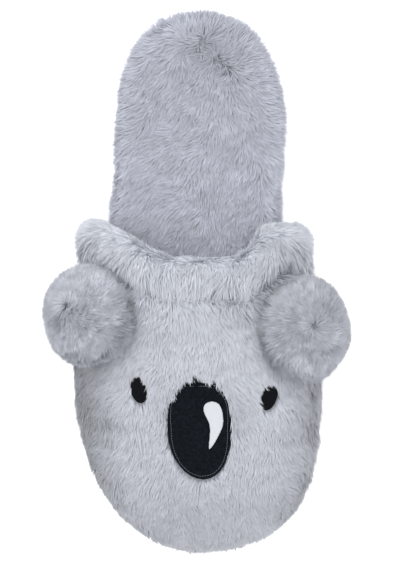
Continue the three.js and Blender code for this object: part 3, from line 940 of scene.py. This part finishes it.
def under_footbed(co):
    """Whether points lie under the footbed, well inside its edge."""
    tree = search_tree(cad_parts["footbed"].data)
    edge = 3 * mm
    below = -20 * mm
    steps_out = [(edge, 0), (-edge, 0), (0, edge), (0, -edge)]

    def covered(x, y):
        return tree.ray_cast(Vector((x, y, below)), Vector((0, 0, 1)))[0] is not None

    return np.array([all(covered(x + dx, y + dy) for dx, dy in steps_out) for x, y, _ in co])


def dress_bed(mesh):
    """Combs the footbed away from the parting at the heel, and out over the platform's rim."""
    co, out = moved(mesh, heel_shift(positions(mesh)))
    off_parting = np.linalg.norm((co - on_parting(co))[:, :2], axis=1)
    crease = 1 - smooth(0, 12 * mm, off_parting)
    edge = 1 - smooth(0.2, 0.8, out[:, 2])
    brim = 1 - smooth(0.90, 0.99, out[:, 2])
    level = unit(out * np.array([1.0, 1.0, 0.0]))
    flow = from_parting(co) + 0.8 * brim[:, None] * level - 0.5 * edge[:, None] * unit_up
    at_cuff = close_to("cuff", co, 0, 9 * mm)
    lift = 26 - 4 * brim + 30 * edge + 16 * at_cuff
    comb(mesh, flow, lift, ruffle=42 + 20 * crease - 16 * brim + 20 * at_cuff, seed=33)
    # No fur deep in the toe, where the vamp hides it
    fur_end = -0.075
    reachable = co[:, 1] > fur_end
    store(mesh, "fullness", np.where((out[:, 2] > -0.2) & reachable, 1.0 + 0.5 * edge, 0.0))
    store(mesh, "growth", 1.0 + 0.12 * waves(co, 0.03, 35) + 0.25 * brim
          + 0.15 * brim * at_heel(co) + 0.15 * at_cuff * waves(co, 0.005, 36))
    # Painted shade along the parting, at the inner heel and right under the roll; painted light
    # towards the front, where the bed lies deep under the roll and the vamp, and at the brim
    deep = 1 - smooth(-0.02, 0.03, co[:, 1])
    fore = smooth(0.09, 0.02, co[:, 1])
    store(mesh, "shade", 0.84 - 0.10 * crease - 0.05 * near(co, inner_heel) + 0.12 * fore
          + 0.46 * deep - 0.25 * near(co, under_roll) + 0.07 * brim)


def dress_ear(mesh, pole):
    """Rounds an ear off and combs its long fur away from a pole, turning round it."""
    co = positions(mesh)
    low, high = co.min(axis=0), co.max(axis=0)
    middle = (low + high) / 2
    outer_side = np.sign(middle[0])
    outward = unit(co - middle)
    reach = np.linalg.norm((co - middle) / (high - low), axis=1)
    # Away from the upper, the skin is drawn in to an even ball that fits the ear's box
    free = smooth(1 * mm, 5 * mm, gap_to("upper", co, 5 * mm))
    even_reach = np.percentile(reach[free > 0.99], 16)
    co, out = moved(mesh, (co - middle) * (free * (even_reach / reach - 1))[:, None])
    pole /= np.linalg.norm(pole)
    facing = outward @ pole
    whorl = smooth(0.75, 1.0, facing)
    away = unit(outward - facing[:, None] * pole)
    turn = np.radians(12 + 58 * whorl + 14 * waves(co, 0.010, 51))[:, None]
    side = away * np.cos(turn) + np.cross(pole, away) * np.sin(turn)
    rise = np.radians(34 + 26 * smooth(0.45, -0.1, facing))
    clumps = 0.10 * triples(*(waves(co, 4.5 * mm, seed) for seed in (54, 55, 56)))
    lie = outward * np.sin(rise)[:, None] + side * np.cos(rise)[:, None] + clumps
    store(mesh, "lie", unit(lie))
    store(mesh, "skin_normal", out)
    store(mesh, "fullness", 1.0 + 0.5 * whorl)
    inward = smooth(0.2, 0.9, -outward[:, 0] * outer_side)
    store(mesh, "growth", 1.0 + 0.05 * waves(co, 0.02, 45) + 0.45 * inward
          + 0.18 * inward * waves(co, 0.004, 46))
    # Strands of tone that run out from the pole, as noise that hardly changes along them
    radius = 20 * mm
    strands = waves(away * radius + 12 * mm * clumps, 2.4 * mm, 57) * smooth(0.97, 0.85, facing)
    # Painted shade round the pole, painted light on the outer ear and painted shade on the inner
    # one; the strands are tone
    store(mesh, "shade", 1.0 - 0.05 * outer_side - 0.22 * smooth(0.4, 0.95, facing)
          + 0.16 * strands)


# The steps that dress the slipper


class SLIPPER_OT_outsole(bpy.types.Operator):
    """Give the rubber sole soft edges and a moulded finish"""

    bl_idname = "slipper.outsole"
    bl_label = "Rubber Sole"

    def execute(self, context):
        piece = link("sole_tread", merged_copy("outsole", "sole_tread"))
        bevel = piece.modifiers.new("Soft Edges", "BEVEL")
        bevel.width = 0.35 * mm
        bevel.segments = 2
        bevel.angle_limit = math.radians(35)
        finished(piece)
        piece.data.shade_smooth()
        piece.data.set_sharp_from_angle(angle=math.radians(32))
        piece.data.materials.append(rubber_material())
        carry(piece, "rubber_sole", "outsole")
        return {"FINISHED"}


class SLIPPER_OT_platform(bpy.types.Operator):
    """Wrap the platform in plush"""

    bl_idname = "slipper.platform"
    bl_label = "Platform"

    def execute(self, context):
        fur = context.scene.slipper_fur
        furred("midsole", "platform", cell=2.2 * mm, rounds=3, dress=dress_rim,
               count=fur.rim_locks, length=fur.rim_length, slot="plush_light",
               tip=fur.bed_colour, seed=2)
        return {"FINISHED"}


class SLIPPER_OT_footbed(bpy.types.Operator):
    """Lay the plush footbed"""

    bl_idname = "slipper.footbed"
    bl_label = "Footbed"

    def execute(self, context):
        fur = context.scene.slipper_fur
        furred("footbed", "footbed", cell=2.2 * mm, rounds=3, dress=dress_bed,
               count=fur.bed_locks, length=fur.bed_length, slot="plush_bed",
               tip=fur.bed_colour, seed=3, variation=0.26, scatter=15, ragged=0.6)
        return {"FINISHED"}


class SLIPPER_OT_upper(bpy.types.Operator):
    """Cover the upper in fur combed towards the toe"""

    bl_idname = "slipper.upper"
    bl_label = "Upper"

    def execute(self, context):
        fur = context.scene.slipper_fur
        face = link("face_patches", joined_nodes("nose", "eye_lateral", "eye_medial"))
        furred("upper", "upper", cell=1.8 * mm, rounds=5, dress=dress_upper,
               count=fur.upper_locks, length=fur.upper_length, slot="plush_light",
               tip=fur.tip_colour, seed=4, scatter=13, ragged=0.5, face=face)
        bpy.data.objects.remove(face)
        return {"FINISHED"}


class SLIPPER_OT_cuff(bpy.types.Operator):
    """Cover the stuffed roll round the collar"""

    bl_idname = "slipper.cuff"
    bl_label = "Cuff"

    def execute(self, context):
        fur = context.scene.slipper_fur
        # Lighter roots: painted light that softens the shade between the roll's locks
        furred("cuff", "cuff", cell=2.0 * mm, rounds=6, dress=dress_cuff,
               count=fur.cuff_locks, length=fur.cuff_length, slot="plush_light",
               tip=fur.tip_colour, seed=5, root=times(fur.tip_colour, 0.82),
               scatter=13, ragged=0.6)
        return {"FINISHED"}


class SLIPPER_OT_ears(bpy.types.Operator):
    """Make both pompom ears"""

    bl_idname = "slipper.ears"
    bl_label = "Ears"

    def execute(self, context):
        fur = context.scene.slipper_fur
        # The way from each ear's middle to the pole of its combing
        poles = {"ear_lateral": (-0.50, 0.34, 0.80), "ear_medial": (0.22, 0.10, 0.97)}
        for seed, (node, pole) in enumerate(poles.items(), 6):
            # Each ear's backing takes the tips' colour: painted light that lightens the shade in
            # the gaps between its locks
            furred(node, node, cell=1.6 * mm, rounds=45,
                   dress=lambda mesh: dress_ear(mesh, np.array(pole)),
                   count=fur.ear_locks, length=fur.ear_length, slot="plush_ear",
                   tip=fur.ear_colour, seed=seed, root=times(fur.ear_colour, 0.62),
                   under=fur.ear_colour, variation=0.34, scatter=9, width=1.1, ragged=0.4)
        return {"FINISHED"}


class SLIPPER_OT_nose(bpy.types.Operator):
    """Make the felt nose with its wisps and its line of stitches"""

    bl_idname = "slipper.nose"
    bl_label = "Nose"

    def execute(self, context):
        face = context.scene.slipper_face
        piece = even_skin("nose", "nose_patch", cell=0.7 * mm, rounds=3)
        felt = felt_material(face.felt_colour)
        piece.data.materials.append(felt)
        dress_wisps(piece.data)
        wisps = lay_fur(piece, "nose_wisps", count=90, length=face.wisp_length, material=felt,
                        seed=9, scatter=12, width=1.0, ragged=0.5)
        carry(piece, "black_felt", "nose")
        carry(wisps, "black_felt")

        line = bpy.data.meshes.new("nose_stitches")
        points = inset_outline(piece.data, face.stitch_inset)
        count = len(points)
        line.from_pydata(points, [(i, (i + 1) % count) for i in range(count)], [])
        stitches = link("nose_stitches", line)
        modifier = stitches.modifiers.new("Stitches", "NODES")
        modifier.node_group = stitch_tree()
        thread = thread_material("stitch_thread", face.stitch_colour)
        set_inputs(modifier, {"Spacing": face.stitch_spacing, "Material": thread})
        carry(finished(stitches), "black_felt")
        return {"FINISHED"}


class SLIPPER_OT_glint(bpy.types.Operator):
    """Stitch the highlight on the nose"""

    bl_idname = "slipper.glint"
    bl_label = "Nose Highlight"

    def execute(self, context):
        face = context.scene.slipper_face
        piece = even_skin("nose_glint", "nose_highlight", cell=0.4 * mm, rounds=2)
        piece.data.materials.append(thread_material("glint_thread", face.glint_colour))
        carry(piece, "white_thread", "nose_glint")
        return {"FINISHED"}


class SLIPPER_OT_eyes(bpy.types.Operator):
    """Stitch both eyes"""

    bl_idname = "slipper.eyes"
    bl_label = "Eyes"

    def execute(self, context):
        face = context.scene.slipper_face
        thread = thread_material("eye_thread", face.eye_colour, roughness=0.8, gloss=0.08)
        for node in ("eye_lateral", "eye_medial"):
            piece = even_skin(node, f"{node}_stitched", cell=0.5 * mm, rounds=2)
            piece.data.materials.append(thread)
            carry(piece, "black_felt", node)
        return {"FINISHED"}


class SLIPPER_OT_stage(bpy.types.Operator):
    """Set the floor, the lights and the camera over the slipper"""

    bl_idname = "slipper.stage"
    bl_label = "Floor, Lights and Camera"

    def execute(self, context):
        scene = context.scene
        stage = scene.slipper_stage
        low, high = (Vector(corner) for corner in cad_box)
        middle = (low + high) / 2
        reach = 3.0
        aim_height = 0.03
        film_height = 24
        far_clip = 20
        mesh = bpy.data.meshes.new("floor")
        corners = [(-reach, -reach, 0), (reach, -reach, 0), (reach, reach, 0), (-reach, reach, 0)]
        mesh.from_pydata(corners, [], [(0, 1, 2, 3)])
        floor = link("floor", mesh)
        material, _, shader = new_material("floor_paper", roughness=0.9)
        for key, value in (("Base Color", (*stage.floor_colour, 1)),
                           ("Emission Color", (1, 1, 1, 1)), ("Emission Strength", 0.35)):
            shader.inputs[key].default_value = value
        mesh.materials.append(material)

        for name, spot, size, power in (
            ("top_light", (-0.25, 0.35, 1.3), 1.4, 16.0),
            ("side_light", (0.9, -0.5, 0.8), 1.0, 4.0),
        ):
            light = bpy.data.lights.new(name, "AREA")
            light.shape = "SQUARE"
            light.size = size
            light.energy = power
            lamp = link(name, light)
            lamp.location = spot
            aim = middle - Vector(spot)
            lamp.rotation_euler = aim.to_track_quat("-Z", "Y").to_euler()

        world = bpy.data.worlds.new("studio")
        world.use_nodes = True
        sky = world.node_tree.nodes["Background"]
        sky.inputs["Color"].default_value = (1, 1, 1, 1)
        sky.inputs["Strength"].default_value = 0.75
        scene.world = world
        scene.view_settings.view_transform = "Standard"

        lens = bpy.data.cameras.new("camera")
        camera = link("camera", lens)
        target = Vector((middle.x, middle.y, aim_height))
        camera.location = (target.x + stage.camera_side, target.y, stage.camera_height)
        aim = target - camera.location
        right = aim.cross(Vector((0, 1, 0))).normalized()
        facing = Matrix((right, right.cross(aim).normalized(), -aim.normalized())).transposed()
        camera.rotation_euler = facing.to_euler()
        lens.sensor_fit = "VERTICAL"
        lens.sensor_height = film_height
        lens.lens = film_height * aim.length / stage.view_height
        lens.clip_end = far_clip
        scene.camera = camera
        return {"FINISHED"}


class SLIPPER_PT_panel(bpy.types.Panel):
    """Lists the steps that dress the slipper"""

    bl_label = "Slipper"
    bl_idname = "SLIPPER_PT_panel"
    bl_space_type = "VIEW_3D"
    bl_region_type = "UI"
    bl_category = "Slipper"

    def draw(self, context):
        layout = self.layout
        for step in steps:
            layout.operator(step.bl_idname)
        for name in groups:
            group = getattr(context.scene, name)
            box = layout.box()
            for key in group.bl_rna.properties.keys():
                if key not in ("rna_type", "name"):
                    box.prop(group, key)


steps = (
    SLIPPER_OT_stage,
    SLIPPER_OT_outsole,
    SLIPPER_OT_platform,
    SLIPPER_OT_footbed,
    SLIPPER_OT_upper,
    SLIPPER_OT_cuff,
    SLIPPER_OT_ears,
    SLIPPER_OT_nose,
    SLIPPER_OT_glint,
    SLIPPER_OT_eyes,
)
groups = {"slipper_fur": SlipperFur, "slipper_face": SlipperFace, "slipper_stage": SlipperStage}
kinds = (*groups.values(), *steps, SLIPPER_PT_panel)


def register():
    for kind in kinds:
        bpy.utils.register_class(kind)
    for name, group in groups.items():
        setattr(bpy.types.Scene, name, bpy.props.PointerProperty(type=group))


def unregister():
    for name in groups:
        delattr(bpy.types.Scene, name)
    for kind in reversed(kinds):
        bpy.utils.unregister_class(kind)


def main():
    register()
    for step in steps:
        space, name = step.bl_idname.split(".")
        getattr(getattr(bpy.ops, space), name)()
    bpy.data.objects.remove(bpy.data.objects["fur_lock"])


if __name__ == "__main__":
    main()
